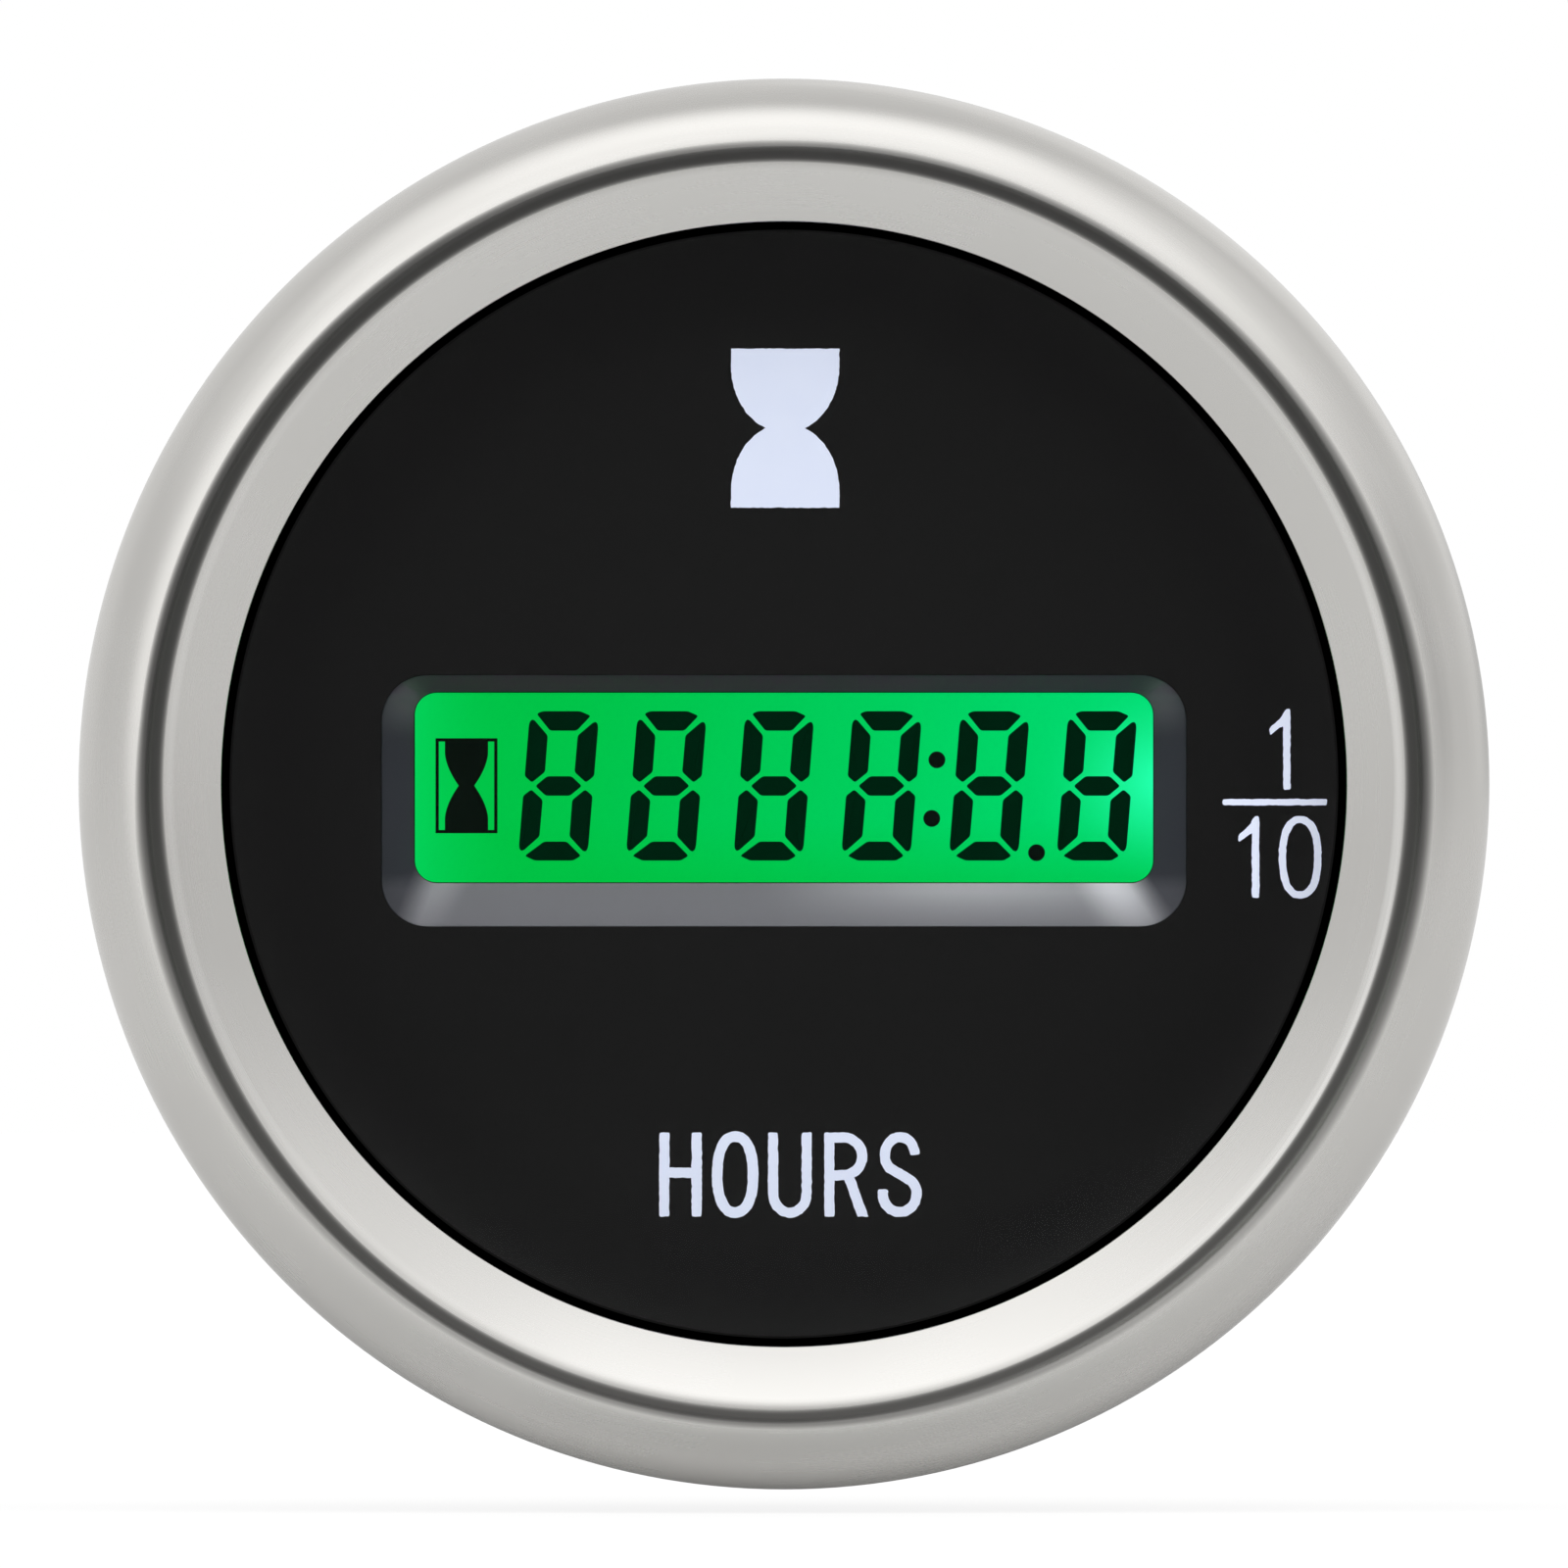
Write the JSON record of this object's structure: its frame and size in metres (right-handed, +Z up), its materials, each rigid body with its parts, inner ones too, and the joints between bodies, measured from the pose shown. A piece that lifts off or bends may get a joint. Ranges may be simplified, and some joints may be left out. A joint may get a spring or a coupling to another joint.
{
  "type": "hour meter",
  "caption": "Round panel-mounted hour meter with a steel bezel, a lit digital display and a rear clamp drawn up by knurled nuts.",
  "frame": {"origin": "on the case's axis, in the plane of the panel's front face", "axes": "the dial faces -Y, +Y runs back through the panel, +Z is up on the dial and +X is right on the dial"},
  "size_m": [0.06, 0.0645, 0.06],
  "materials": {
    "polished_steel": "fine round brushing",
    "lens_glass": "clear and flat",
    "black_rubber": "matte",
    "grey_rubber": "matte, striped",
    "case_plastic": "fine moulded grain",
    "black_plastic": "matte",
    "dial_face": "matte screen-printed face",
    "frame_plastic": "smooth moulded slopes",
    "lit_film": "lit from behind",
    "dark_figures": "flat",
    "cell_glass": "clear",
    "grey_film": "satin",
    "clear_plastic": "clear acrylic",
    "white_plastic": "white reflector",
    "lamp_plastic": "clear lamp body",
    "board_laminate": "solder resist",
    "chip_plastic": "moulded",
    "can_steel": "drawn can",
    "capacitor_sleeve": "shrunk sleeve",
    "tinned_brass": "stamped",
    "wire_sleeve": "insulation",
    "plated_steel": "zinc plated",
    "bracket_steel": "zinc plated sheet",
    "spring_steel": "dull",
    "nut_brass": "knurled and turned"
  },
  "bodies": {
    "gauge": {"bezel": "polished_steel", "lens": "lens_glass", "lens_seal": "black_rubber", "panel_gasket": "black_rubber", "case_rim": "case_plastic", "housing": "case_plastic", "spacer_ring": "black_plastic", "dial": "dial_face", "window_frame": "frame_plastic", "front_film": "lit_film", "lcd_segments": "dark_figures", "front_glass": "cell_glass", "rear_glass": "cell_glass", "rear_film": "grey_film", "light_guide": "clear_plastic", "light_tray": "white_plastic", "backlight_led": "lamp_plastic", "contact_strips": "grey_rubber", "circuit_board": "board_laminate", "board_screws": "plated_steel", "microcontroller": "chip_plastic", "memory_chip": "chip_plastic", "crystal": "can_steel", "capacitor": "capacitor_sleeve", "regulator": "chip_plastic", "diode": "chip_plastic", "blade_left": "tinned_brass", "blade_middle": "tinned_brass", "blade_right": "tinned_brass", "terminal_leads": "wire_sleeve", "stud_left": "plated_steel", "stud_right": "plated_steel", "lock_nuts": "plated_steel"},
    "clamp": {"clamp_bracket": "bracket_steel", "spring_washers": "spring_steel"},
    "left_nut": {"nut_left": "nut_brass"},
    "right_nut": {"nut_right": "nut_brass"}
  },
  "joints": [
    {"name": "clamp_slide", "type": "slide", "parent": "gauge", "child": "clamp", "axis": [0, 1, 0], "range_m": [-0.005, 0.004]},
    {"name": "left_nut_turn", "type": "hinge", "parent": "clamp", "child": "left_nut", "pos_m": [-0.015, 0.047, 0], "axis": [0, 1, 0], "range_deg": [-2574, 2060]},
    {"name": "right_nut_turn", "type": "hinge", "parent": "clamp", "child": "right_nut", "pos_m": [0.015, 0.047, 0], "axis": [0, 1, 0], "range_deg": [-2574, 2060]}
  ],
  "couplings": [
    {"joint": "left_nut_turn", "follows": "clamp_slide", "rad_per_m": 8976},
    {"joint": "right_nut_turn", "follows": "clamp_slide", "rad_per_m": 8976}
  ]
}
